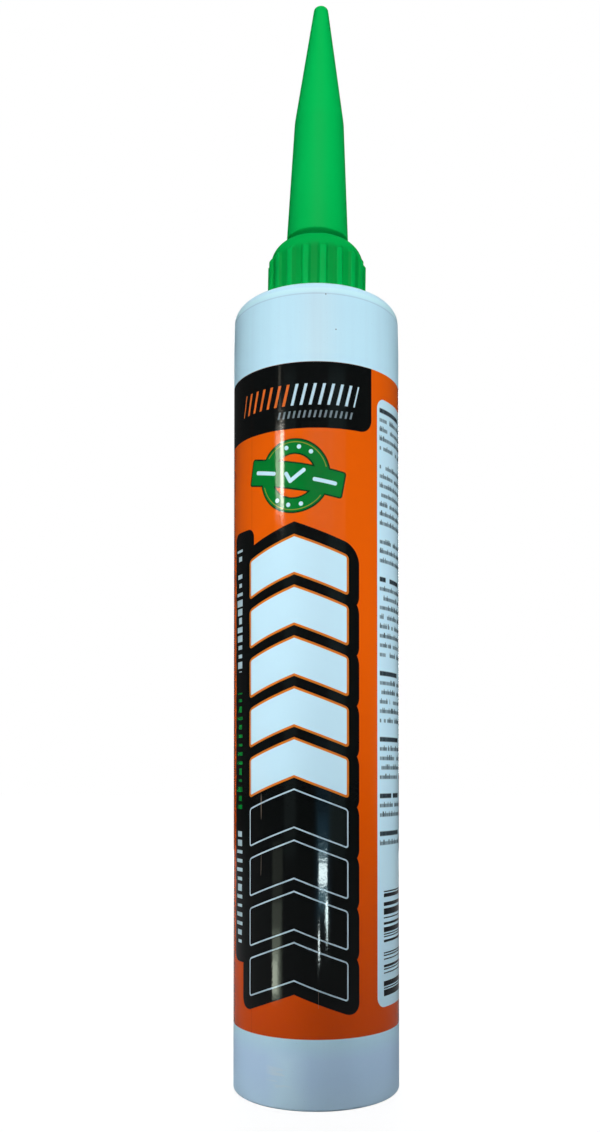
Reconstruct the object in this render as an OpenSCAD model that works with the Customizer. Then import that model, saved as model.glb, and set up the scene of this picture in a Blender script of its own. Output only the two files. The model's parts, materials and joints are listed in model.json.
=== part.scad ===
// Construction adhesive cartridge: a plastic tube of paste with a plunger at its
// foot and a long screw-on nozzle at its top, made to sit in a caulking gun.
// Lengths are in millimetres and angles in degrees. +Z is up, along the tube, and
// the origin is the centre of the tube's open foot.

/* [Barrel] */
// Outer diameter of the tube, which fits the cradle of a caulking gun
barrel_d = 50; // [46:0.5:56]
// Height of the tube from its foot to the flat of its shoulder
barrel_h = 234; // [190:1:260]
// Thickness of the tube's wall
barrel_wall = 1.7; // [1.5:0.1:2.4]
// Rounding of the foot's outer edge
foot_round = 0.9; // [0.3:0.1:1]
// Widening of the tube's open mouth past its bore, on the radius
mouth_wide = 0.3; // [0.1:0.1:0.4]
// Length of the widened mouth, where the gun's push plate goes in
mouth_h = 8; // [4:0.5:9]
// Rounding of the shoulder's outer edge
shoulder_round = 3.5; // [2:0.5:6]
// Thickness of the shoulder's plate
shoulder_t = 2.4; // [1.8:0.1:4]
// Rounding of the corner inside the shoulder
inner_round = 2; // [1:0.5:4]
// Amount by which the tube's radius shrinks towards the shoulder
taper_in = 0.25; // [0:0.05:0.6]
// Length of the tube over which it shrinks
taper_h = 9; // [4:1:20]
// Diameter of the raised seat on the shoulder, under the nozzle's collar
seat_d = 31; // [30:0.5:36]
// Height of the raised seat
seat_h = 1; // [0.5:0.1:2.5]

/* [Spigot] */
// Diameter over the crests of the screw thread
thread_d = 15; // [13.5:0.1:16]
// Depth of the thread from crest to root
thread_depth = 0.9; // [0.5:0.1:1.1]
// Distance from one turn of the thread to the next
thread_pitch = 3; // [2.4:0.2:3.4]
// Number of turns, the run-outs at both ends included
thread_turns = 4; // [2:0.5:4.5]
// Height of the spigot above the raised seat
spigot_h = 17; // [16:0.5:20]
// Rounding of the spigot's nose
nose_round = 1.2; // [0.5:0.1:1.5]
// Diameter of the outlet through the spigot
outlet_d = 9.6; // [6:0.2:10]
// Thickness of the membrane that seals the spigot until it is cut
membrane_t = 0.8; // [0.5:0.1:2]

/* [Nozzle collar] */
// Diameter of the collar between its ribs
collar_d = 28.2; // [27:0.1:29.5]
// Height of the collar's straight side, up to the dome
collar_h = 13.8; // [12:0.1:18]
// Number of grip ribs round the collar
rib_count = 18; // [6:1:24]
// Angle from +X to the middle of a rib
rib_turn = -3; // [-10:1:10]
// Height of a rib above the collar
rib_depth = 0.85; // [0.3:0.05:1.2]
// Width of a rib at its foot
rib_foot_w = 2.3; // [1.2:0.1:3]
// Width of a rib along its crest
rib_crest_w = 1.4; // [0.6:0.1:2]
// Height of the slope that ends each rib at the top
rib_slope_h = 1; // [0.5:0.1:2]
// Distance that the ribs run on above the foot of the dome
rib_run_on = 1.3; // [0.5:0.1:2]
// Radius of the dome's rounding above the straight side
dome_round = 6.1; // [4.5:0.1:7]
// Thickness of the collar's outer skirt
skirt_wall = 1.6; // [1:0.1:2]
// Thickness of the threaded sleeve inside the skirt
sleeve_wall = 1.5; // [1:0.1:2]
// Distance that the sleeve stops short of the collar's lower rim
sleeve_short = 0.6; // [0.3:0.1:2]
// Radial play between the spigot's thread crests and the sleeve's bore
thread_play = 0.35; // [0.3:0.05:0.6]
// Gap left above the spigot's nose inside the sleeve
nose_gap = 1.2; // [0.6:0.1:3]

/* [Nozzle cone] */
// Diameter of the neck's groove between dome and cone
neck_d = 17.9; // [17:0.1:18.4]
// Height of the neck's groove
neck_h = 1.6; // [0.8:0.1:3]
// Diameter of the cone at its foot
cone_foot_d = 18.8; // [18.4:0.1:21]
// Diameter of the cone where its slope grows steeper
cone_bend_d = 15; // [12:0.1:17]
// Diameter of the cone at its tip, before the rounding
cone_tip_d = 4.2; // [3.6:0.1:7]
// Height of the cone's lower part
cone_lower_h = 36.9; // [25:0.1:50]
// Height of the cone's upper part
cone_upper_h = 35.8; // [25:0.1:50]
// Rounding of the tip's edge
tip_round = 0.9; // [0.3:0.1:1.4]
// Thickness of the cone's wall where its slope changes
cone_wall = 1.5; // [1:0.1:2]
// Thickness of the cone's wall at the end of its hollow
tip_wall = 1.4; // [1.2:0.1:1.5]
// Length of the solid plug that closes the tip
tip_solid = 3.4; // [2:0.1:8]
// Angle by which the nozzle sits out of true on its loose thread, towards +X
nozzle_lean = 0.9; // [0:0.1:1]

/* [Plunger] */
// Distance from the tube's foot to the plunger's open rear edge
plunger_inset = 10; // [9:0.5:25]
// Length of the plunger
plunger_h = 20; // [16:1:26]
// Thickness of the plunger's front wall
crown_t = 2; // [1.4:0.1:3]
// Thickness of the plunger's skirt between its lips
plunger_wall = 1.5; // [1.1:0.1:2]
// Length of each sealing lip along the bore
lip_h = 3; // [2:0.5:5]
// Distance by which the skirt stands back from the lips
lip_proud = 0.8; // [0.4:0.1:1.2]
// Running clearance between the lips and the bore, on the radius
lip_gap = 0.05; // [0.02:0.01:0.1]
// Number of gussets inside the cup
gusset_count = 6; // [3:1:10]
// Thickness of a gusset
gusset_t = 1.2; // [0.8:0.1:2]
// Reach of a gusset inwards from the skirt
gusset_reach = 6; // [3:0.5:8]
// Height of a gusset below the front wall
gusset_h = 8; // [4:0.5:12]

/* [Adhesive] */
// Gap between the paste and the plastic round it
paste_gap = 0.1; // [0.05:0.05:0.2]

/* [Hidden] */
$fn = 96;

// Steps in a quarter round of an outline
arc_steps = 8;
// Overlap of solids that are joined, and reach of cuts past a face
bite = 1;
barrel_r = barrel_d / 2;
bore_r = barrel_r - barrel_wall;
mouth_r = bore_r + mouth_wide;
shoulder_r = barrel_r - taper_in;
seat_r = seat_d / 2;
seat_z = barrel_h + seat_h;
ceiling_z = barrel_h - shoulder_t;

crest_r = thread_d / 2;
root_r = crest_r - thread_depth;
outlet_r = outlet_d / 2;
spigot_z = seat_z + spigot_h;

// The thread's ridge: a flat crest between two flanks, with its foot inside the spigot
thread_steps = 24;
thread_foot_sink = 0.4;
thread_foot_w = 0.62 * thread_pitch;
thread_crest_w = 0.2 * thread_pitch;
// Share of a turn over which the ridge rises at one end and runs out at the other
thread_run_out = 0.35;
// Share of the thread's depth that is left at its very ends
thread_end_rise = 0.02;
thread_z = seat_z + (spigot_h - nose_round - thread_turns * thread_pitch) / 2;

// The nozzle's own heights start at the collar's lower rim
collar_r = collar_d / 2;
rib_r = collar_r + rib_depth;
skirt_r = collar_r - skirt_wall;
socket_r = crest_r + thread_play;
sleeve_r = socket_r + sleeve_wall;
neck_r = neck_d / 2;
tip_r = cone_tip_d / 2;
dome_x = collar_r - dome_round;
dome_top = collar_h + sqrt(dome_round * dome_round - pow(neck_r - dome_x, 2));
cone_z = dome_top + neck_h;
cone_h = cone_lower_h + cone_upper_h;
socket_top = spigot_h + nose_gap;
// The leaning collar is lifted until its low side just meets the seat
rim_lift = rib_r * sin(nozzle_lean);

plunger_front = plunger_inset + plunger_h;
lip_r = bore_r - lip_gap;
plunger_r = lip_r - lip_proud;
cup_r = plunger_r - plunger_wall;

// Points of an arc round [x, z], from angle a to angle b
function arc(x, z, r, a, b) = [
    for (i = [0 : arc_steps])
        let (t = a + (b - a) * i / arc_steps)
            [x + r * cos(t), z + r * sin(t)]
];

// One cross-section of the thread's ridge, at a share u of its whole length
function ridge_ring(u) =
    let (
        ends = thread_run_out / thread_turns,
        rise = min(1, u / ends, (1 - u) / ends),
        r_out = root_r + thread_depth * max(rise, thread_end_rise),
        r_in = root_r - thread_foot_sink,
        z = thread_z + thread_turns * thread_pitch * u,
        t = 360 * thread_turns * u,
        section = [
            [r_in, z - thread_foot_w / 2],
            [r_out, z - thread_crest_w / 2],
            [r_out, z + thread_crest_w / 2],
            [r_in, z + thread_foot_w / 2]
        ]
    )
    [for (p = section) [p[0] * cos(t), p[0] * sin(t), p[1]]];

// The helical ridge that makes the spigot's screw thread
module thread_ridge() {
    rings = ceil(thread_turns * thread_steps);
    points = [for (i = [0 : rings]) each ridge_ring(i / rings)];
    sides = [
        for (i = [0 : rings - 1], k = [0 : 3])
            let (a = 4 * i + k, b = 4 * i + (k + 1) % 4)
                each [[a, b, b + 4], [a, b + 4, a + 4]]
    ];
    last = 4 * rings;
    polyhedron(points, concat(sides, [[3, 2, 1, 0], [last, last + 1, last + 2, last + 3]]));
}

// The tube with its foot, shoulder, raised seat and sealed spigot, one moulding
module barrel() {
    color("darkorange") {
        rotate_extrude() polygon(concat(
            [[mouth_r, 0]],
            arc(barrel_r - foot_round, foot_round, foot_round, -90, 0),
            [[barrel_r, barrel_h - shoulder_round - taper_h]],
            arc(shoulder_r - shoulder_round, barrel_h - shoulder_round, shoulder_round, 0, 90),
            [
                [seat_r, barrel_h],
                [seat_r, seat_z],
                [root_r, seat_z]
            ],
            arc(root_r - nose_round, spigot_z - nose_round, nose_round, 0, 90),
            [
                [0, spigot_z],
                [0, spigot_z - membrane_t],
                [outlet_r, spigot_z - membrane_t],
                [outlet_r, ceiling_z]
            ],
            arc(bore_r - inner_round, ceiling_z - inner_round, inner_round, 90, 0),
            [
                [bore_r, mouth_h + mouth_wide],
                [mouth_r, mouth_h]
            ]
        ));
        thread_ridge();
    }
}

// The grip ribs seen from above, as bars that meet on the axis
module rib_outline() {
    intersection() {
        circle(rib_r);
        for (i = [0 : rib_count - 1]) {
            rotate(rib_turn + 360 / rib_count * i) polygon([
                [0, -rib_foot_w / 2],
                [collar_r, -rib_foot_w / 2],
                [rib_r, -rib_crest_w / 2],
                [rib_r, rib_crest_w / 2],
                [collar_r, rib_foot_w / 2],
                [0, rib_foot_w / 2]
            ]);
        }
    }
}

// The nozzle's outer form, standing straight on its lower rim
module nozzle_form() {
    rib_top = collar_h + rib_run_on;
    intersection() {
        linear_extrude(rib_top) rib_outline();
        rotate_extrude() polygon([
            [0, 0],
            [rib_r + bite, 0],
            [rib_r + bite, collar_h / 2],
            [rib_r, rib_top - rib_slope_h],
            [collar_r, rib_top],
            [0, rib_top]
        ]);
    }
    rotate_extrude() polygon(concat(
        [
            [0, 0],
            [collar_r, 0]
        ],
        arc(dome_x, collar_h, dome_round, 0, acos((neck_r - dome_x) / dome_round)),
        [
            [neck_r, cone_z + bite],
            [0, cone_z + bite]
        ]
    ));
    translate([0, 0, cone_z]) rotate_extrude() polygon(concat(
        [
            [0, 0],
            [cone_foot_d / 2, 0],
            [cone_bend_d / 2, cone_lower_h]
        ],
        arc(tip_r - tip_round, cone_h - tip_round, tip_round, 0, 90),
        [[0, cone_h]]
    ));
}

// The hollow between the skirt and the sleeve, open below
module collar_hollow() {
    hollow_round = dome_round - skirt_wall;
    rotate_extrude() polygon(concat(
        [
            [sleeve_r, -bite],
            [skirt_r, -bite]
        ],
        arc(dome_x, collar_h, hollow_round, 0, acos((sleeve_r - dome_x) / hollow_round))
    ));
}

// The sleeve's bore, the relief below its mouth and the hollow of the cone
module nozzle_bore() {
    hollow_top = cone_z + cone_h - tip_solid;
    hollow_tip_r = tip_r + (cone_bend_d / 2 - tip_r) * tip_solid / cone_upper_h - tip_wall;
    translate([0, 0, -bite]) cylinder(r = sleeve_r + bite / 2, h = bite + sleeve_short);
    translate([0, 0, -bite]) cylinder(r = socket_r, h = bite + socket_top);
    rotate_extrude() polygon([
        [0, socket_top - bite],
        [root_r, socket_top - bite],
        [cone_bend_d / 2 - cone_wall, cone_z + cone_lower_h],
        [hollow_tip_r, hollow_top],
        [0, hollow_top]
    ]);
}

// The nozzle: ribbed collar with its threaded sleeve, dome, neck and closed hollow cone, one moulding
module nozzle() {
    color("mediumseagreen")
        translate([0, 0, seat_z + rim_lift]) rotate([0, nozzle_lean, 0]) difference() {
            nozzle_form();
            collar_hollow();
            nozzle_bore();
        }
}

// The plunger: a cup with a front and a rear sealing lip and gussets inside, open to the rear
module plunger() {
    color("white") {
        rotate_extrude() polygon([
            [0, plunger_front - crown_t],
            [cup_r, plunger_front - crown_t],
            [cup_r, plunger_inset],
            [lip_r, plunger_inset],
            [lip_r, plunger_inset + lip_h],
            [plunger_r, plunger_inset + lip_h + lip_proud],
            [plunger_r, plunger_front - lip_h - lip_proud],
            [lip_r, plunger_front - lip_h],
            [lip_r, plunger_front],
            [0, plunger_front]
        ]);
        for (i = [0 : gusset_count - 1]) {
            rotate(360 / gusset_count * i)
                translate([cup_r - gusset_reach, -gusset_t / 2, plunger_front - crown_t - gusset_h])
                    cube([gusset_reach + plunger_wall / 2, gusset_t, gusset_h + crown_t / 2]);
        }
    }
}

// The paste that fills the tube from the plunger to the shoulder, and the outlet
module adhesive() {
    paste_r = bore_r - paste_gap;
    color("cornsilk") rotate_extrude() polygon(concat(
        [
            [0, plunger_front],
            [paste_r, plunger_front]
        ],
        arc(paste_r - inner_round, ceiling_z - paste_gap - inner_round, inner_round, 0, 90),
        [
            [outlet_r - paste_gap, ceiling_z - paste_gap],
            [outlet_r - paste_gap, spigot_z - membrane_t - paste_gap],
            [0, spigot_z - membrane_t - paste_gap]
        ]
    ));
}

barrel();
nozzle();
plunger();
adhesive();
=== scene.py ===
import json
import math

import bmesh
import bpy
from mathutils import Matrix, Vector


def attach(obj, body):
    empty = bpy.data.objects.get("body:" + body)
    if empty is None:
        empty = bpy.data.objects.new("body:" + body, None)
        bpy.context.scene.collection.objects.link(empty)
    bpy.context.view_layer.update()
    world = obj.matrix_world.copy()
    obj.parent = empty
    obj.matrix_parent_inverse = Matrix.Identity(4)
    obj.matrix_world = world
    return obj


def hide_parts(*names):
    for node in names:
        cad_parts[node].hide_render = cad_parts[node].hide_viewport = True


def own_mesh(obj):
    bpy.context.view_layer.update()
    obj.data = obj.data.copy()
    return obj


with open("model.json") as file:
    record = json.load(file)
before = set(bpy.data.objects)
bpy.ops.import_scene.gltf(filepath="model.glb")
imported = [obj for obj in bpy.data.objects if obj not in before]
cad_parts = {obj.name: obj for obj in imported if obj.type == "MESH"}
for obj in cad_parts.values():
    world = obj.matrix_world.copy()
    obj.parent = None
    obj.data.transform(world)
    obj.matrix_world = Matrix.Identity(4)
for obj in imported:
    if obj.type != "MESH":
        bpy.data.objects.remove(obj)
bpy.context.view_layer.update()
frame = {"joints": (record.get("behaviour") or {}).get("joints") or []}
print("frame loaded")

mm = 0.001
deg = math.radians


# Camera, where the photograph was taken from

photo = {
    "width": 600,
    "height": 1132,
    "place": (0.0, -312.6, 94.4),
    "tiltUp": 0.91,
    "focalPixels": 1028.3,
    "axisPixel": (316.3, 757.1),
}


def makeCamera(spec):
    data = bpy.data.cameras.new("photoCamera")
    camera = bpy.data.objects.new("photoCamera", data)
    bpy.context.scene.collection.objects.link(camera)
    camera.location = Vector(spec["place"]) * mm
    camera.rotation_euler = (deg(90 + spec["tiltUp"]), 0, 0)
    longSide = spec["height"]
    data.sensor_fit = "AUTO"
    data.sensor_width = 36
    data.lens = data.sensor_width * spec["focalPixels"] / longSide
    # the photograph is the upper part of the picture that the lens would give
    data.shift_x = (spec["width"] / 2 - spec["axisPixel"][0]) / longSide
    data.shift_y = (spec["axisPixel"][1] - spec["height"] / 2) / longSide
    data.clip_start = 0.01
    data.clip_end = 20
    bpy.context.scene.camera = camera


makeCamera(photo)
print("camera set")


# Shader sums in plain Python: a wire is one output socket

class Wire:
    def __init__(self, tree, socket=None):
        self.tree = tree
        self.socket = socket

    def node(self, kind, settings=None, sockets=None, out=0):
        made = self.tree.nodes.new("ShaderNode" + kind)
        for name, value in (settings or {}).items():
            if name == "stops":
                setStops(made.color_ramp, value)
            else:
                setattr(made, name, value)
        for name, value in (sockets or {}).items():
            if isinstance(value, Wire):
                self.tree.links.new(value.socket, made.inputs[name])
            else:
                made.inputs[name].default_value = value
        return Wire(self.tree, made.outputs[out])

    def math(self, operation, *values, clamp=False):
        settings = {"operation": operation, "use_clamp": clamp}
        return self.node("Math", settings, dict(enumerate(values)))

    def __add__(self, other):
        return self.math("ADD", self, other)

    def __radd__(self, other):
        return self.math("ADD", other, self)

    def __sub__(self, other):
        return self.math("SUBTRACT", self, other)

    def __rsub__(self, other):
        return self.math("SUBTRACT", other, self)

    def __mul__(self, other):
        return self.math("MULTIPLY", self, other)

    def __truediv__(self, other):
        return self.math("DIVIDE", self, other)

    def __abs__(self):
        return self.math("ABSOLUTE", self)

    def above(self, edge):
        return self.math("GREATER_THAN", self, edge)

    def below(self, edge):
        return self.math("LESS_THAN", self, edge)

    def larger(self, other):
        return self.math("MAXIMUM", self, other)

    def smaller(self, other):
        return self.math("MINIMUM", self, other)

    def floor(self):
        return self.math("FLOOR", self)

    def part(self):
        return self.math("FRACT", self)

    def clamped(self, low=0.0, high=1.0):
        return self.node("Clamp", None, {"Value": self, "Min": low, "Max": high})


def setStops(ramp, stops):
    for i, (place, colour) in enumerate(stops):
        stop = ramp.elements[i] if i < len(ramp.elements) else ramp.elements.new(place)
        stop.position = place
        stop.color = colour


def blendColour(share, first, second):
    wire = next(w for w in (share, first, second) if isinstance(w, Wire))
    return wire.node("Mix", {"data_type": "RGBA"}, {0: share, 6: first, 7: second}, out=2)


def srgb(red, green, blue):
    # a colour as a picture gives it, 0 to 255, made linear
    def linear(value):
        share = value / 255
        return share / 12.92 if share <= 0.04045 else ((share + 0.055) / 1.055) ** 2.4

    return (linear(red), linear(green), linear(blue), 1.0)


def startMaterial(name):
    material = bpy.data.materials.new(name)
    material.use_nodes = True
    tree = material.node_tree
    return material, tree.nodes["Principled BSDF"], Wire(tree)


def place(wire):
    # the point on the surface: as it is, and along each axis in millimetres
    coords = wire.node("TexCoord", out=3)
    split = coords.node("SeparateXYZ", None, {0: coords})
    x, y, z = (Wire(wire.tree, split.socket.node.outputs[i]) for i in range(3))
    return coords, x / mm, y / mm, z / mm


def noise(coords, scale, detail, stretch=(1, 1, 1)):
    moved = coords.node("Mapping", None, {"Vector": coords, "Scale": stretch})
    return moved.node("TexNoise", None, {"Vector": moved, "Scale": scale, "Detail": detail})


def noiseSet(coords, specs):
    return {name: noise(coords, *spec) for name, spec in specs.items()}


def finishMaterial(shader, sockets, bump, strength, depth):
    tree = shader.id_data
    for name, value in sockets.items():
        if isinstance(value, Wire):
            tree.links.new(value.socket, shader.inputs[name])
        else:
            shader.inputs[name].default_value = value
    raised = {"Height": bump, "Strength": strength, "Distance": depth * mm}
    made = bump.node("Bump", None, raised)
    tree.links.new(made.socket, shader.inputs["Normal"])


def distance(x, y):
    squares = x * x + y * y
    return squares.math("SQRT", squares)


# Flat shapes in the print: each gives the distance from its edge, negative inside

def discEdge(s, z, centre, radius):
    return distance(s - centre[0], z - centre[1]) - radius


def cornerEdge(first, second, rounding):
    # two straight edges that meet in a rounded corner
    a, b = first + rounding, second + rounding
    return distance(a.larger(0), b.larger(0)) + a.larger(b).smaller(0) - rounding


def boxEdge(s, z, low, high, rounding=0.0):
    middle = ((low[0] + high[0]) / 2, (low[1] + high[1]) / 2)
    half = ((high[0] - low[0]) / 2, (high[1] - low[1]) / 2)
    across, up = abs(s - middle[0]) - half[0], abs(z - middle[1]) - half[1]
    return cornerEdge(across, up, rounding) if rounding else across.larger(up)


def strokeEdge(s, z, start, end, half):
    # a straight stroke with round ends
    span = (end[0] - start[0], end[1] - start[1])
    across, up = s - start[0], z - start[1]
    along = ((across * span[0] + up * span[1]) / (span[0] ** 2 + span[1] ** 2)).clamped()
    across, up = across - along * span[0], up - along * span[1]
    return distance(across, up) - half


def covered(edge, soft=0.12):
    # 1 inside the shape and 0 outside, with the slight blur of a printed edge
    return edge.math("MULTIPLY_ADD", edge, -1 / soft, 0.5, clamp=True)


def printedBox(s, z, spec):
    return covered(boxEdge(s, z, spec["low"], spec["high"], spec.get("rounding", 0.0)))


def cellNoise(column, row):
    # one random value for each cell of a grid
    cell = row.node("CombineXYZ", None, {0: column, 1: row})
    return cell.node("TexWhiteNoise", {"noise_dimensions": "2D"}, {"Vector": cell})


def rowNoise(across, row, width, seed):
    return cellNoise((across / width + seed).floor(), row + seed)


# The print, with s the way round the tube from its front and z the height, in millimetres

printing = {
    "radius": 25.0,
    "bottom": 20.15,
    "top": 210.4,
    # more than half the way round, so that the band closes at the back
    "halfRound": 90,
    "bandSoft": 0.16,
    "orange": srgb(226, 92, 4),
    # painted shade: a darker, redder orange towards the foot, and where it starts to fade
    "shadedOrange": srgb(206, 73, 0),
    "shadedOrangeFrom": 25,
    "shadedOrangeLength": 110,
    "black": srgb(9, 12, 12),
    "pale": srgb(196, 232, 248),
    "green": srgb(3, 118, 44),
    "header": {"low": (-66, 191.6), "high": (17.1, 222), "rounding": 4.0},
    "panel": {"low": (19.4, 27.2), "high": (72, 202.8), "rounding": 3.2},
    "strip": {"low": (-31.2, 39.6), "high": (-20, 165), "rounding": 2.5},
}


def printedColour(s, z, plastic):
    ink = printing
    low, high = (-ink["halfRound"], ink["bottom"]), (ink["halfRound"], ink["top"])
    inBand = covered(boxEdge(s, z, low, high), ink["bandSoft"])
    # painted shade: the orange turns darker and redder towards the foot
    upper = ((z - ink["shadedOrangeFrom"]) / ink["shadedOrangeLength"]).clamped()
    colour = blendColour(inBand, plastic, blendColour(upper, ink["shadedOrange"], ink["orange"]))
    block = printedBox(s, z, ink["header"]) * inBand
    colour = blendColour(block, colour, ink["black"])
    colour = headerStrokes(s, z, colour, block)
    colour = blendColour(printedBox(s, z, ink["strip"]), colour, ink["black"])
    colour = stripStrokes(s, z, colour)
    colour = columnColour(s, z, colour)
    colour = badgeColour(s, z, colour)
    colour = blendColour(printedBox(s, z, ink["panel"]), colour, ink["pale"])
    return panelLines(s, z, colour), inBand


headerRows = {
    "slant": 0.25,
    "level": 200,
    "large": {"pitch": 2.6, "half": 0.42, "low": (-24.7, 198.2), "high": (11.7, 204.2)},
    "fine": {"pitch": 1.5, "half": 0.3, "low": (-10.5, 194.6), "high": (12.0, 196.6)},
    "orange": srgb(214, 104, 40),
    "orangeEnd": -8,
    "pale": srgb(186, 214, 228),
    "grey": srgb(150, 170, 180),
    "greyShare": 0.55,
}


def strokeRow(slanted, z, row):
    # strokes side by side, cut to the row's box
    off = abs((slanted / row["pitch"]).part() - 0.5) * row["pitch"]
    return covered(off - row["half"]) * printedBox(slanted, z, row)


def headerStrokes(s, z, colour, block):
    # two rows of slanted strokes, orange and pale, where a name would stand
    rows = headerRows
    slanted = s - (z - rows["level"]) * rows["slant"]
    tint = blendColour(slanted.above(rows["orangeEnd"]), rows["orange"], rows["pale"])
    colour = blendColour(strokeRow(slanted, z, rows["large"]) * block, colour, tint)
    fine = strokeRow(slanted, z, rows["fine"]) * block * rows["greyShare"]
    return blendColour(fine, colour, rows["grey"])


stripBars = {
    "pitch": 2.6,
    "middle": -27.4,
    # least half thickness and half length, and the most that a random share adds
    "thickness": (0.3, 0.75),
    "length": (0.9, 1.3),
    "shift": 0.7,
    "leftOut": 0.12,
    "sides": (-30, -24),
    "paleRuns": [(124, 160), (44, 78)],
    "greenRuns": [(84, 118)],
    "pale": srgb(180, 205, 215),
}


def stripStrokes(s, z, colour):
    # upright row of short bars of uneven size, pale, green and pale again
    spec = stripBars
    step = z / spec["pitch"]
    # two columns of cells give each bar two separate random values
    size = cellNoise(0, step.floor() + 0.5)
    reach = cellNoise(7, step.floor() + 7.5)
    thin, thicker = spec["thickness"]
    short, longer = spec["length"]
    bars = covered(abs(step.part() - 0.5) * spec["pitch"] - size * thicker - thin)
    across = abs(s - spec["middle"] + reach * spec["shift"])
    bars = bars * covered(across - reach * longer - short) * size.above(spec["leftOut"])
    left, right = spec["sides"]
    for runs, tint in (("paleRuns", spec["pale"]), ("greenRuns", printing["green"])):
        for low, high in spec[runs]:
            run = covered(boxEdge(s, z, (left, low), (right, high)))
            colour = blendColour(bars * run, colour, tint)
    return colour


column = {
    "centre": -6.3,
    "half": 15.7,
    "start": 34.6,
    "pitch": 14.3,
    "count": 9,
    "dark": 4,
    "band": 11.4,
    "slope": 0.38,
    "rounding": 1.1,
    "border": 3.3,
    "outlineWidth": 0.65,
    "lineInset": 0.35,
    "lineHalf": 0.2,
    "outline": srgb(206, 112, 28),
    "line": srgb(176, 200, 214),
}


def columnColour(s, z, colour):
    # a column of wide upward chevrons: pale above, dark with a fine outline below
    spec = column
    side = abs(s - spec["centre"])
    along = z + side * spec["slope"] - spec["start"]
    number = (along / spec["pitch"]).floor().clamped(0, spec["count"] - 1)
    off = along - (number + 0.5) * spec["pitch"]
    lean = 1 / math.hypot(1, spec["slope"])
    level = abs(off) * lean - spec["band"] * lean / 2
    edge = cornerEdge(level, side - spec["half"], spec["rounding"])
    colour = blendColour(covered(edge - spec["border"]), colour, printing["black"])
    pale = number.above(spec["dark"] - 0.5)
    colour = blendColour(covered(edge) * pale, colour, spec["outline"])
    inner = covered(edge + spec["outlineWidth"]) * pale
    colour = blendColour(inner, colour, printing["pale"])
    line = covered(abs(edge + spec["lineInset"]) - spec["lineHalf"]) * (1 - pale)
    return blendColour(line, colour, spec["line"])


badge = {
    "centre": (-6.5, 178.3),
    "radius": 10.6,
    "inner": 6.1,
    "half": (14.8, 3.9),
    "rounding": 0.9,
    "lean": -11.0,
    "darkEdge": 0.45,
    "goldInset": 1.0,
    "goldHalf": 0.09,
    "tick": [(-2.3, 0.3), (-0.7, -1.6), (2.6, 2.0)],
    "tickHalf": 0.55,
    "sides": {"low": (5.6, -0.55), "high": (12.6, 0.55), "rounding": 0.5},
    "dotTurns": (-26, 0, 26),
    "dotReach": 8.3,
    "dotRadius": 0.62,
    "dark": srgb(4, 58, 26),
    "gold": srgb(150, 150, 40),
}


def badgeColour(s, z, colour):
    # a plain green roundel with a bar across it and a tick on the bar
    spec = badge
    ring = discEdge(s, z, spec["centre"], spec["radius"])
    flatAcross, flatUp = s - spec["centre"][0], z - spec["centre"][1]
    cosine, sine = math.cos(deg(spec["lean"])), math.sin(deg(spec["lean"]))
    across, up = flatAcross * cosine + flatUp * sine, flatUp * cosine - flatAcross * sine
    halfLength, halfHeight = spec["half"]
    bar = cornerEdge(abs(across) - halfLength, abs(up) - halfHeight, spec["rounding"])
    hole = (ring + (spec["radius"] - spec["inner"])) * -1
    solid = ring.larger(hole).smaller(bar)
    colour = blendColour(covered(solid), colour, spec["dark"])
    colour = blendColour(covered(solid + spec["darkEdge"]), colour, printing["green"])
    gold = covered(abs(ring + spec["goldInset"]) - spec["goldHalf"])
    colour = blendColour(gold * (1 - covered(bar - 0.2)), colour, spec["gold"])
    start, corner, end = spec["tick"]
    tick = strokeEdge(across, up, start, corner, spec["tickHalf"])
    tick = tick.smaller(strokeEdge(across, up, corner, end, spec["tickHalf"]))
    colour = blendColour(covered(tick), colour, printing["pale"])
    sides = printedBox(abs(across), up, spec["sides"])
    colour = blendColour(sides, colour, printing["pale"])
    for turn in spec["dotTurns"]:
        # the same three dots above and below the bar
        dot = (spec["dotReach"] * math.sin(deg(turn)), spec["dotReach"] * math.cos(deg(turn)))
        spot = covered(discEdge(across, abs(up), dot, spec["dotRadius"]))
        colour = blendColour(spot, colour, printing["pale"])
    return colour


smallPrint = {
    "rowHeight": 2.72,
    "top": 200.8,
    "left": 20.5,
    "right": 70.5,
    "ragged": 12,
    "headingWidth": 12.5,
    # widths of words, of parts of words, of single strokes and of pairs of them
    "word": 1.9,
    "syllable": 1.1,
    "stroke": 0.34,
    "beat": 0.68,
    # in shares of a row: middle and half height of plain strokes, and what tall ones add
    "plain": (0.52, 0.19, 0.09),
    "bold": (0.5, 0.25),
    "tallFrom": 0.8,
    "ink": srgb(14, 22, 30),
    # first row, number of rows and whether the first row is a bold heading
    "blocks": [(0, 5, True), (6, 7, False), (14, 3, False), (18, 9, True), (28, 6, True),
               (35, 5, True), (41, 3, True), (45, 2, True)],
    "bars": {"low": (22.3, 30.0), "high": (44.0, 60.5), "width": 0.36, "gaps": 0.46,
             "ink": srgb(14, 18, 24)},
}


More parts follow.
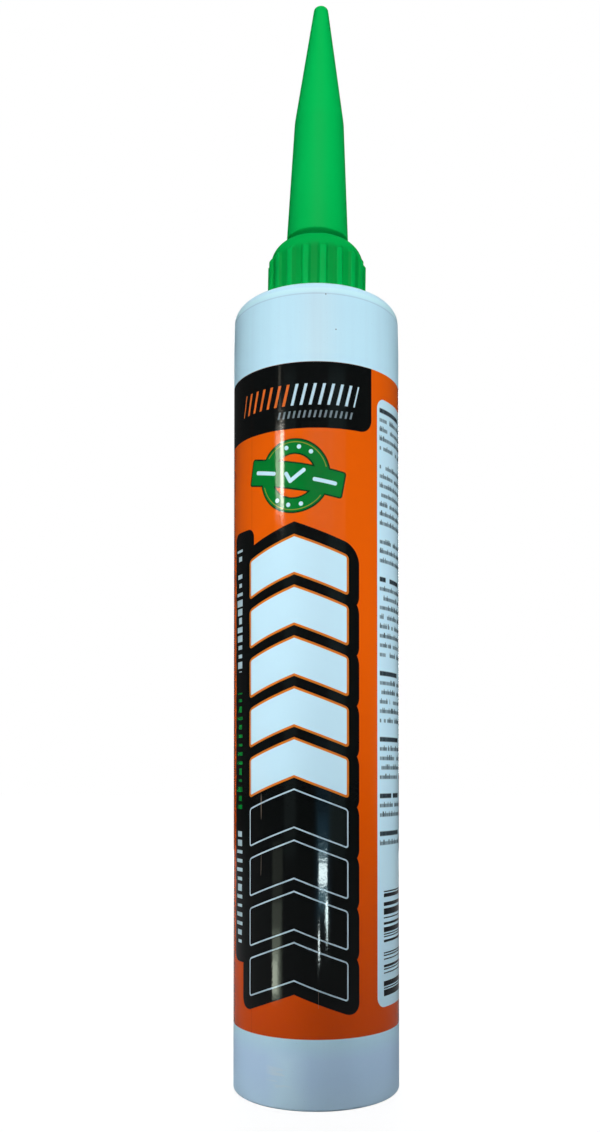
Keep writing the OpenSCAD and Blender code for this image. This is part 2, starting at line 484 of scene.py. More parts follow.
def panelLines(s, z, colour):
    spec = smallPrint
    down = (spec["top"] - z) / spec["rowHeight"]
    row = down.floor()
    inRow = down - row
    # strokes of uneven height and tone, with gaps between groups, stand for small print
    word = rowNoise(s, row, spec["word"], 0.3)
    syllable = rowNoise(s, row, spec["syllable"], 4.7)
    group = word * 0.5 + syllable * 0.5
    stroke = rowNoise(s, row, spec["stroke"], 9.1)
    beat = covered(abs((s / spec["beat"]).part() - 0.5) - 0.36, 0.2)
    middle, half, taller = spec["plain"]
    tall = stroke.above(spec["tallFrom"]) * taller
    plain = covered(abs(inRow - middle + tall) - half - tall, 0.1)
    plain = plain * group.above(0.2) * (0.62 + stroke * 0.36) * (0.55 + beat * 0.45)
    middle, half = spec["bold"]
    bold = covered(abs(inRow - middle) - half, 0.1) * group.above(0.14) * (0.8 + beat * 0.2)
    bold = bold * s.below(spec["left"] + spec["headingWidth"])
    # one value for the whole row leaves the right-hand ends ragged
    rowEnd = spec["right"] - cellNoise(2, row + 2.5) * spec["ragged"]
    ends = s.below(rowEnd) * s.above(spec["left"])
    text = 0.0
    for first, count, heading in spec["blocks"]:
        start = first + 1 if heading else first
        inBlock = row.above(start - 0.5) * row.below(first + count - 0.5)
        text = inBlock * plain + text
        if heading:
            text = row.above(first - 0.5) * row.below(first + 0.5) * bold + text
    colour = blendColour((text * ends).clamped(), colour, spec["ink"])
    bars = spec["bars"]
    cell = (z / bars["width"]).floor()
    stripe = cell.node("TexWhiteNoise", {"noise_dimensions": "1D"}, {"W": cell})
    solid = stripe.above(bars["gaps"]) * printedBox(s, z, bars)
    return blendColour(solid, colour, bars["ink"])


tubeSkin = {
    "light": srgb(197, 240, 255),
    "dark": srgb(191, 233, 251),
    "streak": srgb(176, 210, 230),
    "foot": srgb(188, 220, 250),
    # painted highlight on the foot
    "paintedFootLight": srgb(203, 236, 255),
    "grain": srgb(110, 130, 150),
    "speck": srgb(40, 50, 62),
    # the seam's darker line is painted shadow in its groove
    "seamAndShadow": srgb(120, 160, 182),
    # painted highlight on the rounded shoulder above the seam
    "lip": srgb(203, 243, 250),
    # dark lines in the ink: a lap seam and painted reflection streaks
    "lapAndReflection": srgb(60, 24, 8),
    # scuffs on the foot, their pale colour a painted glint
    "scuffAndGlint": srgb(214, 232, 246),
    "worn": srgb(150, 130, 116),
    "footTop": 17.0,
    "seamLevel": 229.8,
    "shoulderHighlightAbove": 1.1,
    "specks": [(2.7, 229.6), (5.6, 219.7)],
    "speckRadius": 0.16,
    "lapAndReflectionLines": [-29.6, -28.4, -21.0],
    # corners of the patches of painted highlight on the foot, of the foot's scuffs with their
    # painted glint, and of the scratches in the ink
    "footLightBox": ((-12, -5), (-5, 16)),
    "scuffBox": ((-14, 3.5), (-8, 12)),
    "wornBox": ((-18, 66), (-14.8, 88)),
    "scratchBox": ((0.55, 28.8), (0.67, 34)),
    "seamHalf": 0.14,
    "shoulderHighlightHalf": 0.7,
    "lapAndReflectionHalf": 0.06,
    "inkDepth": 0.35,
    # scale, detail and stretch of each noise
    "noises": {
        "cloud": (60, 3),
        "streak": (900, 2, (1, 1, 0.02)),
        "band": (260, 3, (1, 1, 0.03)),
        "fine": (2600, 1),
        "pebble": (1250, 1),
        "peel": (420, 2, (1, 1, 0.5)),
        "scuffAndGlint": (300, 3, (0.25, 0.25, 3.0)),
        "hair": (700, 2, (1, 1, 0.03)),
    },
    "wallRoughness": 0.36,
    "inkRoughness": 0.07,
}


def barePlastic(skin, noises, s, z, seamAndShadow):
    # the tube's own white: cloudy and streaky and bluer at the foot, with painted light on the
    # foot, painted shadow in the seam and a painted highlight on the shoulder above it
    colour = blendColour(noises["cloud"], skin["dark"], skin["light"])
    streaks = noises["streak"] * 0.2 + noises["band"] * 0.3
    colour = blendColour(streaks, colour, skin["streak"])
    footTint = covered(z - skin["footTop"], 6.0)
    colour = blendColour(footTint, colour, skin["foot"])
    # painted highlight: a lighter upright band on the foot, and painted light along its bottom
    # edge
    footLight = covered(boxEdge(s, z, *skin["footLightBox"]), 7.0) + covered(z - 5, 8.0) * 0.5
    colour = blendColour((footLight * footTint).clamped() * 0.8, colour, skin["paintedFootLight"])
    colour = blendColour(noises["fine"].above(0.74) * 0.12, colour, skin["grain"])
    for spot in skin["specks"]:
        speck = covered(discEdge(s, z, spot, skin["speckRadius"]), 0.2)
        colour = blendColour(speck, colour, skin["speck"])
    # painted shadow darkens the seam's groove
    colour = blendColour(seamAndShadow * 0.36, colour, skin["seamAndShadow"])
    # painted highlight: a lighter band on the rounded shoulder
    lip = covered(abs(z - skin["seamLevel"] - skin["shoulderHighlightAbove"]) - skin["shoulderHighlightHalf"], 0.6)
    return blendColour(lip * 0.6, colour, skin["lip"])


def scratches(skin, noises, s, z):
    # upright scratches in the ink: a group on the left and a short one near the middle
    group = covered(boxEdge(s, z, *skin["wornBox"]), 2.0) * noises["hair"].above(0.64)
    return group + covered(boxEdge(s, z, *skin["scratchBox"]), 0.15)


def printedTubeMaterial(skin):
    material, shader, wire = startMaterial("printedTube")
    coords, x, y, z = place(wire)
    s = x.math("ARCTAN2", x, y * -1) * printing["radius"]
    radius = distance(x, y)
    noises = noiseSet(coords, skin["noises"])
    # the seam's groove, which also carries painted shadow
    seamAndShadow = covered(abs(z - skin["seamLevel"]) - skin["seamHalf"], 0.25) * radius.above(24)
    plastic = barePlastic(skin, noises, s, z, seamAndShadow)
    colour, inBand = printedColour(s, z, plastic)
    # ink lies only on the outside
    outside = radius.above(printing["radius"] - skin["inkDepth"])
    inked = inBand * outside
    colour = blendColour(outside, plastic, colour)
    # dark upright lines in the ink: a lap seam and painted reflection streaks
    lapAndReflection = 0.0
    for spot in skin["lapAndReflectionLines"]:
        lapAndReflection = covered(abs(s - spot) - skin["lapAndReflectionHalf"], 0.25) + lapAndReflection
    lapAndReflection = lapAndReflection * inked
    colour = blendColour(lapAndReflection * 0.3, colour, skin["lapAndReflection"])
    # scuffs on the bare foot, lightened by a painted glint
    scuffed = covered(boxEdge(s, z, *skin["scuffBox"]), 3.0) * (1 - inBand) * outside
    scuffAndGlint = noises["scuffAndGlint"].above(0.57) * scuffed
    colour = blendColour(scuffAndGlint * 0.5, colour, skin["scuffAndGlint"])
    worn = scratches(skin, noises, s, z) * inked
    colour = blendColour(worn * 0.35, colour, skin["worn"])
    fine = noises["fine"]
    rough = skin["wallRoughness"] - inked * (skin["wallRoughness"] - skin["inkRoughness"])
    height = noises["streak"] * 0.35 + fine * 0.2 + noises["pebble"] * 0.9
    height = height + noises["peel"] * 0.8 + inked * 0.4
    finishMaterial(shader, {
        "Base Color": colour,
        "Roughness": rough + (fine - 0.5) * 0.06 + scuffAndGlint * 0.1,
        "IOR": 1.46,
        "Coat Weight": inked * 0.2,
        "Coat Roughness": 0.03,
    }, bump=height - lapAndReflection * 0.6 - seamAndShadow * 2.0, strength=0.25, depth=0.04)
    return material


def plainPlasticMaterial(name, light, dark, rough=0.42, grain=900, bumpDepth=0.04):
    material, shader, wire = startMaterial(name)
    coords = place(wire)[0]
    cloud = noise(coords, 90, 3)
    fine = noise(coords, grain, 3)
    colour = blendColour(cloud * 0.6 + fine * 0.4, dark, light)
    finishMaterial(shader, {
        "Base Color": colour,
        "Roughness": rough + (fine - 0.5) * 0.12,
        "IOR": 1.46,
    }, bump=fine, strength=0.3, depth=bumpDepth)
    return material


nozzleSkin = {
    "dye": srgb(0, 192, 88),
    "shade": srgb(0, 183, 82),
    "coneFoot": srgb(0, 176, 78),
    "dome": srgb(0, 165, 72),
    "collar": srgb(0, 151, 62),
    # painted highlight on the ribs' crests
    "crest": srgb(0, 169, 75),
    # painted shade in the groove under the cone
    "neck": srgb(0, 160, 76),
    # height where a change of tint starts, and the height that it takes
    "coneFade": (275, 16),
    "coneShare": 0.7,
    "domeFade": (248.5, 2),
    "collarTop": 256.8,
    # where the painted highlight on the crests starts, and the heights of the painted shade
    # under the cone
    "crestHighlightRadius": 14.75,
    "neckShadeBand": (253.1, 256.9),
    "noises": {"cloud": (70, 3), "flow": (500, 2, (1, 1, 0.06)), "fine": (1500, 3)},
    "partingBehind": -1.5,
    "partingWidth": 0.12,
    "roughness": 0.52,
    "gloss": 0.05,
}


def greenNozzleMaterial(skin):
    material, shader, wire = startMaterial("greenNozzle")
    coords, x, y, z = place(wire)
    noises = noiseSet(coords, skin["noises"])
    flow, fine = noises["flow"], noises["fine"]
    colour = blendColour(noises["cloud"] * 0.6 + flow * 0.4, skin["shade"], skin["dye"])
    # the cone turns darker towards its foot, and the dome and collar are darker than the cone
    start, length = skin["coneFade"]
    shaded = ((start - z) / length).clamped() * skin["coneShare"]
    colour = blendColour(shaded, colour, skin["coneFoot"])
    start, length = skin["domeFade"]
    domed = blendColour(((z - start) / length).clamped(), skin["collar"], skin["dome"])
    colour = blendColour(((skin["collarTop"] - z) / 0.8).clamped(), colour, domed)
    # painted highlight on the ribs' crests, and painted shade in the groove under the cone
    lean = math.tan(deg(nozzle["lean"]))
    radius = distance(x - (z - nozzle["seatHeight"]) * lean, y)
    low, high = skin["neckShadeBand"]
    crest = ((radius - skin["crestHighlightRadius"]) / 0.15).clamped() * z.below(low)
    colour = blendColour(crest, colour, skin["crest"])
    # painted shade in the groove under the cone
    neck = ((z - low) / 1.2).clamped() * ((high - z) / 0.6).clamped()
    colour = blendColour(neck, colour, skin["neck"])
    # fine parting lines of the mould down both sides of the cone
    parting = covered(abs(y - skin["partingBehind"]) - skin["partingWidth"], 0.15)
    parting = parting * z.above(skin["collarTop"])
    colour = blendColour(parting * 0.2, colour, skin["collar"])
    finishMaterial(shader, {
        "Base Color": colour,
        "Roughness": skin["roughness"] + (fine - 0.5) * 0.14,
        "IOR": 1.46,
        "Specular IOR Level": skin["gloss"],
    }, bump=fine * 0.5 + flow * 0.4 + parting, strength=0.25, depth=0.04)
    return material


# Turned shapes: a half section with rounded corners, spun about the tube's axis

def roundCorner(bm, vertex, radius, segments):
    ends = [edge.other_vert(vertex).co - vertex.co for edge in vertex.link_edges]
    turn = math.pi - ends[0].angle(ends[1])
    reach = radius * mm * math.tan(turn / 2)
    bmesh.ops.bevel(bm, geom=[vertex], offset=reach, offset_type="OFFSET", segments=segments,
                    profile=0.5, affect="VERTICES", material=-1, clamp_overlap=False)


def holdEdges(bm, reach):
    # short runs at both ends of each long edge keep the shading of its rounded ends off it
    for edge in [e for e in bm.edges if e.calc_length() > 6 * reach]:
        length = edge.calc_length()
        first, last = edge.verts
        split, _ = bmesh.utils.edge_split(edge, first, reach / length)
        rest = split if last in split.verts else edge
        bmesh.utils.edge_split(rest, last, reach / (length - reach))


def halfSection(corners, reach=0.3):
    # corners are (radius, height, rounding, segments) in millimetres
    bm = bmesh.new()
    made = [bm.verts.new((r * mm, 0, z * mm)) for r, z, *_ in corners]
    bm.faces.new(made)
    for vertex, (r, z, *rounding) in zip(made, corners):
        if rounding:
            roundCorner(bm, vertex, rounding[0], rounding[1])
    bmesh.ops.delete(bm, geom=bm.faces[:], context="FACES_ONLY")
    axis = [e for e in bm.edges if all(v.co.x < 1e-7 for v in e.verts)]
    bmesh.ops.delete(bm, geom=axis, context="EDGES")
    holdEdges(bm, reach * mm)
    return bm


def spinSection(bm, steps):
    bmesh.ops.spin(bm, geom=bm.verts[:] + bm.edges[:], cent=(0, 0, 0), axis=(0, 0, 1),
                   angle=deg(360), steps=steps, use_merge=True)
    bmesh.ops.remove_doubles(bm, verts=bm.verts[:], dist=1e-7)
    bmesh.ops.dissolve_degenerate(bm, edges=bm.edges[:], dist=1e-8)


def finishPiece(bm, name, material, body, replaced=(), crease=32):
    bmesh.ops.recalc_face_normals(bm, faces=bm.faces[:])
    for face in bm.faces:
        face.smooth = True
    for edge in bm.edges:
        edge.smooth = edge.calc_face_angle(0) < deg(crease)
    mesh = bpy.data.meshes.new(name)
    bm.to_mesh(mesh)
    bm.free()
    piece = bpy.data.objects.new(name, mesh)
    bpy.context.scene.collection.objects.link(piece)
    mesh.materials.append(material)
    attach(piece, body)
    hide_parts(*replaced)
    print("made", name, len(mesh.polygons), "faces")
    return piece


# Tube: foot, wall, tapered top, rounded shoulder, seat and sealed spigot

tube = {
    "radius": 25.0,
    "bore": 23.3,
    "mouth": 23.6,
    "mouthHeight": 8.0,
    "height": 234.0,
    "topRadius": 24.75,
    "taperStart": 221.5,
    "ceiling": 231.6,
    "seat": (15.5, 235.0),
    "root": 6.6,
    "nose": 252.0,
    "outlet": (4.8, 251.2),
    "mouthRound": 0.15,
    "footRound": 0.9,
    "taperRound": 60,
    "shoulderRound": 3.5,
    "seatRound": 0.25,
    "rootRound": 0.4,
    "noseRound": 1.2,
    "outletRound": 0.5,
    "innerRound": 2.0,
    "edgeRound": 0.3,
    "steps": 192,
}


def makeTube(spec, material):
    seatRadius, seatTop = spec["seat"]
    outletRadius, outletTop = spec["outlet"]
    bm = halfSection([
        (spec["mouth"], 0, spec["mouthRound"], 2),
        (spec["radius"], 0, spec["footRound"], 6),
        (spec["radius"], spec["taperStart"], spec["taperRound"], 4),
        (spec["topRadius"], spec["height"], spec["shoulderRound"], 10),
        (seatRadius, spec["height"], spec["edgeRound"], 3),
        (seatRadius, seatTop, spec["seatRound"], 3),
        (spec["root"], seatTop, spec["rootRound"], 3),
        (spec["root"], spec["nose"], spec["noseRound"], 6),
        (0, spec["nose"]),
        (0, outletTop),
        (outletRadius, outletTop, spec["edgeRound"], 3),
        (outletRadius, spec["ceiling"], spec["outletRound"], 4),
        (spec["bore"], spec["ceiling"], spec["innerRound"], 6),
        (spec["bore"], spec["mouthHeight"] + spec["mouth"] - spec["bore"]),
        (spec["mouth"], spec["mouthHeight"]),
    ])
    spinSection(bm, spec["steps"])
    finishPiece(bm, "tube", material, "barrel", ["barrel"])


# Screw threads: one cross-section wound up a helix, run out at both ends

thread = {
    "root": 6.6,
    "crest": 7.5,
    "pitch": 3.0,
    "turns": 4.0,
    "start": 236.9,
    "footHalf": 0.93,
    "crestHalf": 0.3,
    "sink": 0.4,
    "stepsPerTurn": 48,
    "runOut": 0.35,
    "leastShare": 0.28,
}


def makeThread(name, spec, inner, outer, material, body, place=Matrix()):
    # inner and outer are the ridge's foot and crest radius; the foot is the hidden side
    bm = bmesh.new()
    foot, crest, z = inner * mm, outer * mm, spec["start"] * mm
    profile = [(foot, -spec["footHalf"]), (crest, -spec["crestHalf"]),
               (crest, spec["crestHalf"]), (foot, spec["footHalf"])]
    ring = [bm.verts.new((r, 0, z + h * mm)) for r, h in profile]
    edges = [bm.edges.new((ring[i], ring[(i + 1) % 4])) for i in range(4)]
    bm.faces.new(ring)
    steps = round(spec["turns"] * spec["stepsPerTurn"])
    rise = spec["pitch"] * spec["turns"] / steps * mm
    bmesh.ops.spin(bm, geom=ring + edges, cent=(0, 0, 0), axis=(0, 0, 1), dvec=(0, 0, rise),
                   angle=deg(360 * spec["turns"]), steps=steps)
    bm.verts.ensure_lookup_table()
    bm.verts.index_update()
    fade = spec["runOut"] * spec["stepsPerTurn"]
    for vertex in bm.verts:
        number = vertex.index // 4
        share = min(1, number / fade, (steps - number) / fade)
        flat = math.hypot(vertex.co.x, vertex.co.y)
        scaled = foot + (flat - foot) * max(share, spec["leastShare"])
        vertex.co.x *= scaled / flat
        vertex.co.y *= scaled / flat
    bm.faces.new([bm.verts[i] for i in range(len(bm.verts) - 4, len(bm.verts))])
    bmesh.ops.transform(bm, matrix=place, verts=bm.verts[:])
    finishPiece(bm, name, material, body)


# the nozzle's own ridge lies between the spigot's turns, half a pitch higher
nozzleThread = dict(thread, root=7.85, crest=7.0, turns=3.0, start=3.17)


# Nozzle: ribbed collar, dome, neck and cone, standing on its rim and then leaned

nozzle = {
    "collar": 14.1,
    "collarHeight": 13.8,
    "domeRound": 6.1,
    "skirtWall": 1.6,
    "socket": 7.85,
    "socketTop": 18.2,
    "sleeve": 9.35,
    "sleeveShort": 0.6,
    "neck": 7.9,
    "neckLevel": 20.0,
    "neckTop": 20.4,
    "groove": 1.7,
    "coneFoot": 9.4,
    "coneLevel": 21.43,
    "coneBend": 7.5,
    "coneTip": 2.1,
    "lowerHeight": 36.9,
    "upperHeight": 35.77,
    "coneWall": 1.5,
    "coneLedge": 1.25,
    "hollowTip": 1.21,
    "tipSolid": 3.4,
    "skirtLevels": (4.5, 9.0),
    "domeShort": 0.02,
    "rimRound": 0.25,
    "edgeRound": 0.3,
    "neckRound": 0.4,
    "coneFootRound": 0.35,
    "bendRound": 25,
    "tipRound": 0.95,
    "domeSteps": 14,
    "hollowSteps": 8,
    "stepsPerRib": 20,
    "seatHeight": 235.0,
    "lean": 0.9,
    "ribs": {"count": 18, "turn": -3.0, "depth": 0.85, "foot": 3.1, "crest": 1.3,
             "top": 14.6, "slope": 1.0},
}


def nozzlePlace(spec):
    lift = (spec["collar"] + spec["ribs"]["depth"]) * math.sin(deg(spec["lean"]))
    rise = Matrix.Translation((0, 0, (spec["seatHeight"] + lift) * mm))
    return rise @ Matrix.Rotation(deg(spec["lean"]), 4, "Y")


def arc(centre, radius, turn, steps):
    # points on a circle, from its outermost point upwards
    return [(centre[0] + radius * math.cos(turn * i / steps),
             centre[1] + radius * math.sin(turn * i / steps)) for i in range(steps + 1)]


def nozzleSection(spec):
    domeCentre = (spec["collar"] - spec["domeRound"], spec["collarHeight"])
    coneZ = spec["coneLevel"]
    bend = coneZ + spec["lowerHeight"]
    top = bend + spec["upperHeight"]
    footTop = spec["neckLevel"] + spec["groove"]
    slope = (spec["coneFoot"] - spec["coneBend"]) / spec["lowerHeight"]
    footRadius = spec["coneFoot"] - slope * (footTop - coneZ)
    # the dome stops just short of the neck's level, which has a point of its own
    domeShare = (spec["neckLevel"] - spec["collarHeight"]) / spec["domeRound"]
    domeTurn = math.asin(domeShare - spec["domeShort"])
    dome = arc(domeCentre, spec["domeRound"], domeTurn, spec["domeSteps"])[:-1]
    hollowRound = spec["domeRound"] - spec["skirtWall"]
    hollowTurn = math.acos((spec["sleeve"] - domeCentre[0]) / hollowRound)
    hollow = arc(domeCentre, hollowRound, hollowTurn, spec["hollowSteps"])
    return halfSection([
        (spec["collar"], 0, spec["rimRound"], 3),
        *[(spec["collar"], level) for level in spec["skirtLevels"]],
        *dome,
        (spec["neck"], spec["neckLevel"]),
        (spec["neck"], spec["neckTop"], spec["neckRound"], 4),
        (footRadius, footTop, spec["coneFootRound"], 4),
        (spec["coneBend"], bend, spec["bendRound"], 6),
        (spec["coneTip"], top, spec["tipRound"], 6),
        (0, top),
        (0, top - spec["tipSolid"]),
        (spec["hollowTip"], top - spec["tipSolid"], 0.5, 3),
        (spec["coneBend"] - spec["coneWall"], bend),
        (spec["socket"] - spec["coneLedge"], spec["socketTop"]),
        (spec["socket"], spec["socketTop"], spec["edgeRound"], 2),
        (spec["socket"], spec["sleeveShort"], spec["edgeRound"], 2),
        (spec["sleeve"], spec["sleeveShort"], spec["edgeRound"], 2),
        *reversed(hollow),
        (spec["collar"] - spec["skirtWall"], 0, spec["rimRound"], 2),
    ], reach=0.25)


def ribShare(offset, ribs):
    # how far a rib stands out at a distance from its middle, 0 to 1
    half, flat = ribs["foot"] / 2, ribs["crest"] / 2
    share = min(1, max(0, (half - abs(offset)) / (half - flat)))
    return share * share * (3 - 2 * share)


def raiseRibs(bm, spec):
    ribs = spec["ribs"]
    crest = spec["collar"] + ribs["depth"]
    sector = 360 / ribs["count"]
    for vertex in bm.verts:
        flat, z = math.hypot(vertex.co.x, vertex.co.y) / mm, vertex.co.z / mm
        # only the collar's outer skin below the rib tops moves
        if z > ribs["top"] or flat < spec["collar"] - 0.5:
            continue
        angle = math.degrees(math.atan2(vertex.co.y, vertex.co.x)) - ribs["turn"]
        offset = ((angle + sector / 2) % sector - sector / 2) * deg(1) * spec["collar"]
        drop = max(0, z - (ribs["top"] - ribs["slope"])) / ribs["slope"]
        outer = crest - drop * ribs["depth"] - max(0, spec["rimRound"] - z)
        wanted = flat + ribShare(offset, ribs) * max(0, outer - flat)
        vertex.co.x *= wanted / flat
        vertex.co.y *= wanted / flat


def makeNozzle(spec, material):
    bm = nozzleSection(spec)
    spinSection(bm, spec["ribs"]["count"] * spec["stepsPerRib"])
    raiseRibs(bm, spec)
    bmesh.ops.transform(bm, matrix=nozzlePlace(spec), verts=bm.verts[:])
    finishPiece(bm, "nozzleShell", material, "nozzle", ["nozzle"], crease=40)


# Plunger: a cup with two lips and gussets, open below

plunger = {
    "inset": 10.0,
    "height": 20.0,
    "crown": 2.0,
    "lip": 23.25,
    "lipHeight": 3.0,
    "proud": 0.8,
    "wall": 1.5,
    "edgeRound": 0.3,
    "innerRound": 0.8,
    "frontRound": 0.15,
    "steps": 128,
    "gussets": {"count": 6, "thick": 1.2, "reach": 6.0, "height": 8.0, "sunk": 1.0,
                "rounding": 0.25},
}


def makeGusset(bm, spec, cup, front, turn):
    # a plate from the crown down, sunk in the crown and in the wall
    gussets = spec["gussets"]
    made = bmesh.ops.create_cube(bm, size=1.0)["verts"]
    length, height = gussets["reach"] + spec["wall"] / 2, gussets["height"] + gussets["sunk"]
    bmesh.ops.scale(bm, vec=Vector((length, gussets["thick"], height)) * mm, verts=made)
    middle = (cup - gussets["reach"] + length / 2, 0,
              front - spec["crown"] + gussets["sunk"] - height / 2)
    bmesh.ops.translate(bm, vec=Vector(middle) * mm, verts=made)
    edges = list({e for v in made for e in v.link_edges})
    rounded = bmesh.ops.bevel(bm, geom=edges, offset=gussets["rounding"] * mm,
                              offset_type="OFFSET", segments=2, profile=0.5, affect="EDGES",
                              material=-1)
    bmesh.ops.rotate(bm, cent=(0, 0, 0), matrix=Matrix.Rotation(turn, 3, "Z"),
                     verts=rounded["verts"])


def makePlunger(spec, material):
    front, rear = spec["inset"] + spec["height"], spec["inset"]
    body = spec["lip"] - spec["proud"]
    cup = body - spec["wall"]
    lipHeight, proud, edgeRound = spec["lipHeight"], spec["proud"], spec["edgeRound"]
    bm = halfSection([
        (0, front - spec["crown"]),
        (cup, front - spec["crown"], spec["innerRound"], 4),
        (cup, rear, edgeRound, 2),
        (spec["lip"], rear, edgeRound, 3),
        (spec["lip"], rear + lipHeight, edgeRound, 2),
        (body, rear + lipHeight + proud, edgeRound, 2),
        (body, front - lipHeight - proud, edgeRound, 2),
        (spec["lip"], front - lipHeight, edgeRound, 2),
        (spec["lip"], front, spec["frontRound"], 2),
        (0, front),
    ])
    spinSection(bm, spec["steps"])
    count = spec["gussets"]["count"]
    for i in range(count):
        makeGusset(bm, spec, cup, front, deg(360 / count * i))
    finishPiece(bm, "plungerCup", material, "plunger", ["plunger"])


# Paste: the charge in the tube and the plug in the outlet

paste = {
    "radius": 23.2,
    "bottom": 30.0,
    "top": 231.5,
    "outlet": 4.7,
    "plugTop": 251.1,
    "bottomRound": 0.4,
    "topRound": 2.0,
    "plugRound": 0.5,
    "chargeSteps": 96,
    "plugSteps": 48,
}


def makePaste(spec, material):
    bm = halfSection([
        (0, spec["bottom"]),
        (spec["radius"], spec["bottom"], spec["bottomRound"], 2),
        (spec["radius"], spec["top"], spec["topRound"], 5),
        (0, spec["top"]),
    ])
    spinSection(bm, spec["chargeSteps"])
    charge = finishPiece(bm, "pasteCharge", material, "barrel", ["adhesive"])
    travel = next(j for j in frame["joints"] if j["name"] == "plunger_push")["range_m"][1]
    length = (spec["top"] - spec["bottom"]) * mm
    (length - travel) / length
    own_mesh(charge)
    bm = halfSection([
        (0, spec["top"]),
        (spec["outlet"], spec["top"]),
        (spec["outlet"], spec["plugTop"], spec["plugRound"], 4),
        (0, spec["plugTop"]),
    ])
    spinSection(bm, spec["plugSteps"])
    finishPiece(bm, "pastePlug", material, "barrel", ["adhesive"])


tubeMaterial = printedTubeMaterial(tubeSkin)
greenMaterial = greenNozzleMaterial(nozzleSkin)
whiteMaterial = plainPlasticMaterial("plainPlastic", srgb(222, 226, 224), srgb(208, 213, 212))
pasteMaterial = plainPlasticMaterial("pasteSkin", srgb(226, 217, 196), srgb(208, 198, 174),
                                     rough=0.3, grain=260, bumpDepth=0.3)
print("materials made")

makeTube(tube, tubeMaterial)
makeThread("spigotThread", thread, thread["root"] - thread["sink"], thread["crest"],
           tubeMaterial, "barrel")
makeNozzle(nozzle, greenMaterial)
makeThread("nozzleThread", nozzleThread, nozzleThread["root"] + nozzleThread["sink"],
           nozzleThread["crest"], greenMaterial, "nozzle", nozzlePlace(nozzle))
makePlunger(plunger, whiteMaterial)
makePaste(paste, pasteMaterial)


# Studio: pale floor, white surroundings, soft lamps and the lamps whose glints show on the tube

studio = {
    "floorSize": 8.0,
    "floorColour": (0.18, 0.185, 0.19, 1),
    "worldLevel": 0.08,
    "glossLevel": 0.03,
    # the floor's glow: weaker near the tube, full further off, none under the open foot
    "nearGlow": 0.9,
    "fadeFrom": 120,
    "fadeLength": 450,
    "footClear": 24.1,
    "lamps": [
        # name, place, aim, width and height in metres, level, spread
        ("key", (0.01, -0.31, 0.35), (0, 0, 0.23), 0.27, 0.387, 0.94, 47),
        ("leftPanel", (-0.8, -0.12, 0.075), (0, 0, 0.075), 0.4, 0.2, 0.9, 34),
        ("rightPanel", (0.8, 0.06, 0.13), (0, 0, 0.13), 0.4, 0.2, 0.62, 30),
        ("backPanel", (0, 0.9, 0.32), (0, 0, 0.16), 0.6, 0.6, 6.5, 180),
        ("topPanel", (0, 0.1, 1.2), (0, 0, 0.2), 0.6, 0.6, 3.0, 180),
        ("lowPanel", (0, 0, -0.25), (0, 0, 0), 0.12, 0.12, 14.0, 180),
    ],
    "glints": [
        # name, angle and height on the tube, distance, width, height, level, tint
        ("tallWindow", -24.3, 179.5, 0.9, 0.2, 0.086, 6.0, (1, 0.97, 0.86)),
        ("tallEdge", -22.9, 180, 0.9, 0.07, 0.086, 16.0, (1, 0.98, 0.9)),
        ("tallLine", -24.6, 198, 0.9, 0.05, 0.1, 0.8, (1, 0.95, 0.8)),
        ("lowWindow", 4.25, 66.5, 0.3, 0.0625, 0.0124, 22.0, (0.86, 1, 1)),
        ("lowFade", 4.25, 65.5, 0.3, 0.0625, 0.032, 2.2, (0.4, 0.85, 1)),
        ("lowGlow", 4.25, 70, 0.3, 0.076, 0.05, 0.3, (0.15, 0.6, 1)),
        ("lowHaze", 4.25, 76, 0.3, 0.1, 0.09, 0.16, (0.15, 0.6, 1)),
        ("lowMist", 4.25, 80, 0.3, 0.13, 0.12, 0.08, (0.2, 0.7, 1)),
        ("lowLine", 6.9, 52.4, 0.3, 0.011, 0.024, 18.0, (0.8, 1, 1)),
        ("lowStub", 6.6, 55.6, 0.3, 0.02, 0.0125, 14.0, (0.8, 1, 1)),
        ("lowerLine", 1.7, 46.7, 0.22, 0.007, 0.0145, 22.0, (0.85, 1, 1)),
        ("sideWallA", -26.0, 53, 0.12, 0.036, 0.062, 0.3, (0.85, 1, 0.78)),
        ("sideWallB", -26.4, 44.5, 0.12, 0.0324, 0.038, 0.5, (0.85, 1, 0.78)),
        ("sideWallC", -26.9, 40.5, 0.12, 0.027, 0.027, 1.2, (0.85, 1, 0.78)),
        ("sideWallD", -27.5, 38, 0.12, 0.0216, 0.017, 2.6, (0.88, 1, 0.8)),
        ("sideWallE", -28.0, 37, 0.12, 0.0162, 0.0115, 3.0, (0.9, 1, 0.82)),
        ("roomLeft", -17.2, 110, 0.9, 0.27, 0.8, 0.12, (0.7, 1, 0.95)),
        ("roomRight", 13.5, 110, 0.9, 0.38, 0.8, 0.16, (0.6, 1, 1)),
    ],
    "backGlint": ("backStrip", (0.12, 0.95, 0.34), (0, 0, 0.15), 0.1, 0.5, 6.0),
}


def makeLamp(name, spot, aim, width, height, level, spread=180, glint=False, tint=(1, 1, 1)):
    data = bpy.data.lights.new(name, "AREA")
    data.shape = "RECTANGLE"
    data.size, data.size_y = width, height
    data.energy = math.pi * width * height * level
    data.spread = deg(spread)
    data.color = tint
    lamp = bpy.data.objects.new(name, data)
    bpy.context.scene.collection.objects.link(lamp)
    lamp.location = spot
    lamp.rotation_euler = (Vector(aim) - Vector(spot)).to_track_quat("-Z", "Y").to_euler()
    # the large lamps give the plain level, the small ones only the gloss
    lamp.visible_glossy = glint
    lamp.visible_diffuse = not glint


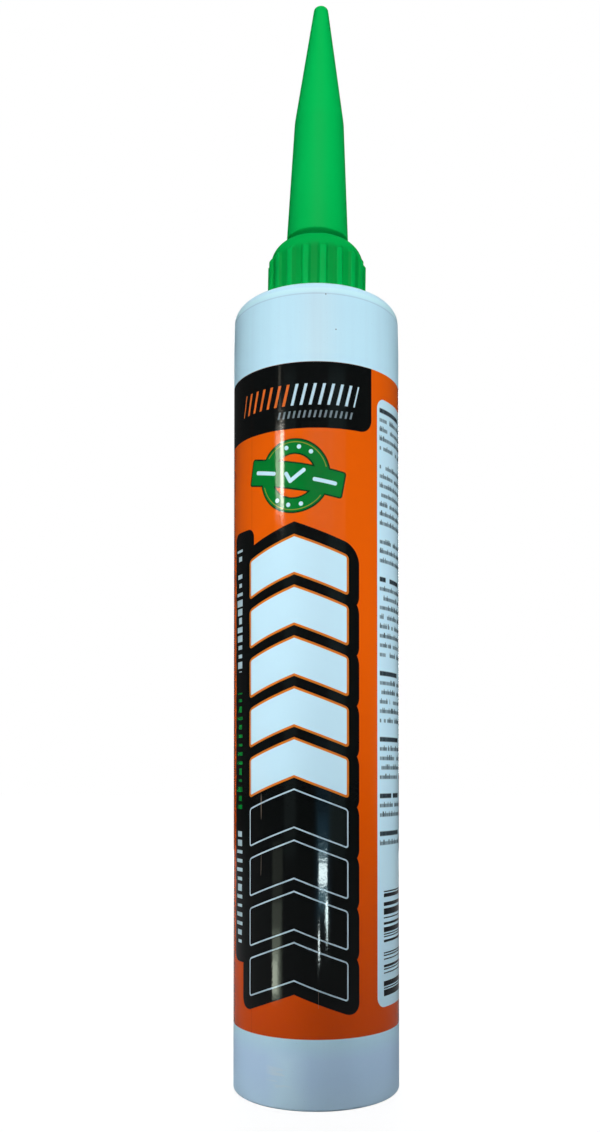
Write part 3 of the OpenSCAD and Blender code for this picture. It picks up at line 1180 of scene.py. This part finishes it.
def glintLamp(name, angle, height, distance, width, tall, level, tint):
    # stands where the tube's skin mirrors it to the camera at this angle and height
    normal = Vector((math.sin(deg(angle)), -math.cos(deg(angle)), 0))
    spot = normal * tube["radius"] * mm + Vector((0, 0, height * mm))
    ray = (spot - Vector(photo["place"]) * mm).normalized().reflect(normal)
    makeLamp(name, spot + ray * distance, spot, width, tall, level, glint=True, tint=tint)


def rayIs(wire, kind):
    # 1 for rays of that kind, 0 for all others
    path = wire.node("LightPath").socket.node
    return Wire(wire.tree, path.outputs["Is " + kind + " Ray"])


def makeWorld(level, glossLevel):
    # white where the camera sees it, and only dim in glosses and on the surfaces
    world = bpy.data.worlds.new("whiteRoom")
    bpy.context.scene.world = world
    world.use_nodes = True
    tree = world.node_tree
    wire = Wire(tree)
    plain = rayIs(wire, "Glossy") * (glossLevel - level) + level
    strength = plain.larger(rayIs(wire, "Camera")).larger(rayIs(wire, "Transmission"))
    back = tree.nodes["Background"]
    back.inputs["Color"].default_value = (1, 1, 1, 1)
    tree.links.new(strength.socket, back.inputs["Strength"])


def makeFloor(spec):
    bm = bmesh.new()
    bmesh.ops.create_grid(bm, x_segments=1, y_segments=1, size=spec["floorSize"] / 2)
    mesh = bpy.data.meshes.new("floor")
    bm.to_mesh(mesh)
    bm.free()
    floor = bpy.data.objects.new("floor", mesh)
    bpy.context.scene.collection.objects.link(floor)
    material = bpy.data.materials.new("paleFloor")
    material.use_nodes = True
    tree = material.node_tree
    wire = Wire(tree)
    x, y = place(wire)[1:3]
    # white for the camera: fully so far off, and near the tube as much as leaves its shadow
    off = (distance(x, y) - spec["fadeFrom"]) / spec["fadeLength"]
    near = (spec["nearGlow"],) * 3 + (1,)
    glowColour = blendColour(off.clamped(), near, (1, 1, 1, 1))
    shade = wire.node("BsdfDiffuse", None, {"Color": spec["floorColour"]})
    glow = wire.node("Emission", None, {"Color": glowColour})
    lit = wire.node("AddShader", None, {0: shade, 1: glow})
    pale = wire.node("MixShader", None, {0: rayIs(wire, "Camera"), 1: shade, 2: lit})
    clear = wire.node("BsdfTransparent")
    # clear from below, and under the open foot, where the low panel lights the plunger
    under = wire.node("NewGeometry", out=6)
    mouth = distance(x, y).below(spec["footClear"])
    mixed = wire.node("MixShader", None, {0: under.larger(mouth), 1: pale, 2: clear})
    tree.links.new(mixed.socket, tree.nodes["Material Output"].inputs["Surface"])
    mesh.materials.append(material)


for lamp in studio["lamps"]:
    makeLamp(*lamp)
for glint in studio["glints"]:
    glintLamp(*glint)
makeLamp(*studio["backGlint"], glint=True)
makeWorld(studio["worldLevel"], studio["glossLevel"])
makeFloor(studio)
bpy.context.scene.view_settings.view_transform = "Standard"
print("studio made")
